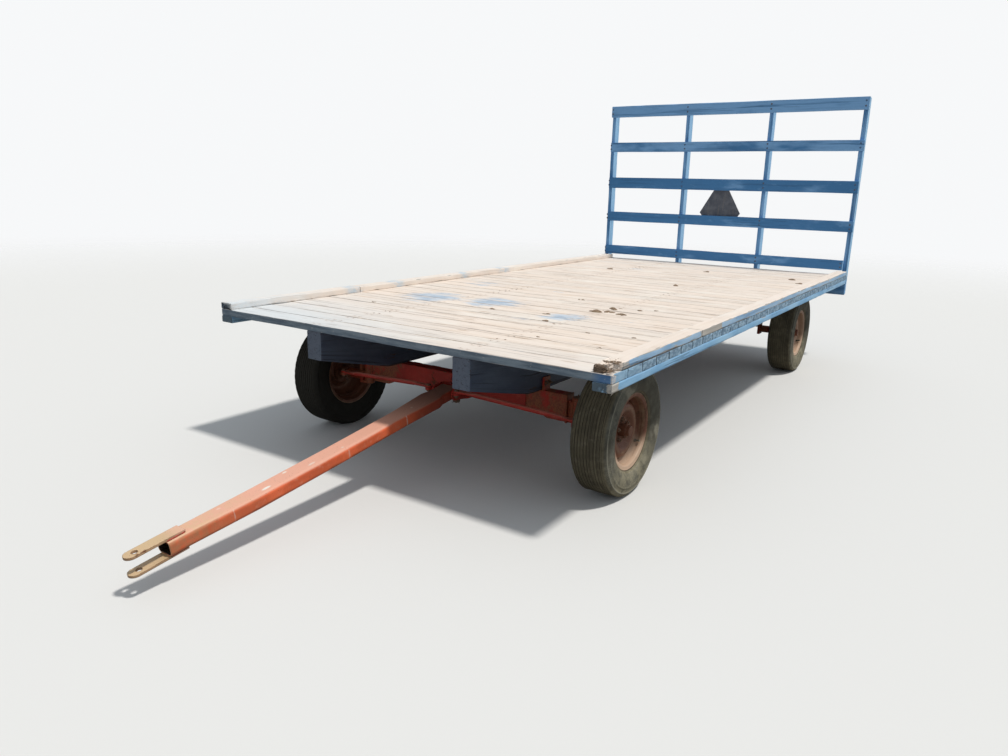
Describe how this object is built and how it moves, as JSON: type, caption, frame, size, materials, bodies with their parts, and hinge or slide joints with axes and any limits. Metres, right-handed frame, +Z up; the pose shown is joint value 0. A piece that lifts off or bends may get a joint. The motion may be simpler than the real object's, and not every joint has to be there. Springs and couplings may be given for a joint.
{
  "type": "hay wagon",
  "caption": "Flat-bed farm wagon with crosswise deck planks, a slatted rear rack, a steered front axle with tie rods and a hinged drawbar tongue.",
  "frame": {"origin": "on the ground, below the centre of the overall box", "axes": "+Z up, +Y to the rear, -Y along the tongue, +X to the wagon's left"},
  "size_m": [2.465, 6.3038, 2.3189],
  "materials": {
    "deck_wood": "bare weathered planks with flaking paint",
    "curb_paint": "faded blue paint on wood",
    "sill_paint": "worn blue-grey paint on wood",
    "rack_paint": "weathered blue paint on wood",
    "gear_paint": "old red paint with rust",
    "tongue_paint": "sun-faded orange-red paint",
    "clevis_steel": "rusted steel",
    "rim_paint": "rusty red-brown paint",
    "tyre": "dusty weathered tread",
    "emblem": "blank orange reflective sheet"
  },
  "bodies": {
    "wagon_frame": {"deck_planks": "deck_wood", "side_stringer_left": "curb_paint", "side_stringer_right": "curb_paint", "curb_left": "curb_paint", "curb_right": "curb_paint", "sill_left": "sill_paint", "sill_right": "sill_paint", "rear_header": "curb_paint", "rack_post_1": "rack_paint", "rack_post_2": "rack_paint", "rack_post_3": "rack_paint", "rack_post_4": "rack_paint", "rack_rail_1": "rack_paint", "rack_rail_2": "rack_paint", "rack_rail_3": "rack_paint", "rack_rail_4": "rack_paint", "rack_rail_5": "rack_paint", "smv_emblem": "emblem", "front_axle": "gear_paint", "rear_axle": "gear_paint", "reach_outer": "gear_paint", "reach_inner": "gear_paint", "hound_left": "gear_paint", "hound_right": "gear_paint"},
    "knuckle_left": {"knuckle_left": "gear_paint"},
    "tie_rod_left": {"tie_rod_left": "gear_paint"},
    "knuckle_right": {"knuckle_right": "gear_paint"},
    "tie_rod_right": {"tie_rod_right": "gear_paint"},
    "tongue_head": {"tongue_head": "gear_paint"},
    "tongue": {"tongue": "tongue_paint", "clevis_strap_upper": "clevis_steel", "clevis_strap_lower": "clevis_steel"},
    "wheel_front_left": {"tyre_front_left": "tyre", "rim_front_left": "rim_paint", "hub_front_left": "rim_paint"},
    "wheel_front_right": {"tyre_front_right": "tyre", "rim_front_right": "rim_paint", "hub_front_right": "rim_paint"},
    "wheel_rear_left": {"tyre_rear_left": "tyre", "rim_rear_left": "rim_paint", "hub_rear_left": "rim_paint"},
    "wheel_rear_right": {"tyre_rear_right": "tyre", "rim_rear_right": "rim_paint", "hub_rear_right": "rim_paint"}
  },
  "joints": [
    {"name": "tongue_steer", "type": "hinge", "parent": "wagon_frame", "child": "tongue_head", "pos_m": [0, -1.21908, 0.388], "axis": [0, 0, 1], "range_deg": [-30, 30]},
    {"name": "tongue_lift", "type": "hinge", "parent": "tongue_head", "child": "tongue", "pos_m": [0, -1.31408, 0.388], "axis": [-1, 0, 0], "range_deg": [0, 22]},
    {"name": "knuckle_left_steer", "type": "hinge", "parent": "wagon_frame", "child": "knuckle_left", "pos_m": [0.725, -1.14708, 0.33], "axis": [0, 0, 1], "range_deg": [-30, 30]},
    {"name": "tie_rod_left_turn", "type": "hinge", "parent": "tongue_head", "child": "tie_rod_left", "pos_m": [0.095, -1.34408, 0.4065], "axis": [0, 0, 1], "range_deg": [-30, 30]},
    {"name": "knuckle_right_steer", "type": "hinge", "parent": "wagon_frame", "child": "knuckle_right", "pos_m": [-0.725, -1.14708, 0.33], "axis": [0, 0, 1], "range_deg": [-30, 30]},
    {"name": "tie_rod_right_turn", "type": "hinge", "parent": "tongue_head", "child": "tie_rod_right", "pos_m": [-0.095, -1.34408, 0.4065], "axis": [0, 0, 1], "range_deg": [-30, 30]},
    {"name": "wheel_front_left_spin", "type": "hinge", "parent": "knuckle_left", "child": "wheel_front_left", "pos_m": [0.951, -1.14708, 0.33], "axis": [1, 0, 0], "continuous": true},
    {"name": "wheel_front_right_spin", "type": "hinge", "parent": "knuckle_right", "child": "wheel_front_right", "pos_m": [-0.951, -1.14708, 0.33], "axis": [1, 0, 0], "continuous": true},
    {"name": "wheel_rear_left_spin", "type": "hinge", "parent": "wagon_frame", "child": "wheel_rear_left", "pos_m": [0.951, 2.25892, 0.33], "axis": [1, 0, 0], "continuous": true},
    {"name": "wheel_rear_right_spin", "type": "hinge", "parent": "wagon_frame", "child": "wheel_rear_right", "pos_m": [-0.951, 2.25892, 0.33], "axis": [1, 0, 0], "continuous": true}
  ],
  "couplings": [
    {"joint": "knuckle_left_steer", "follows": "tongue_steer", "ratio": 1},
    {"joint": "tie_rod_left_turn", "follows": "tongue_steer", "ratio": -1},
    {"joint": "knuckle_right_steer", "follows": "tongue_steer", "ratio": 1},
    {"joint": "tie_rod_right_turn", "follows": "tongue_steer", "ratio": -1}
  ]
}
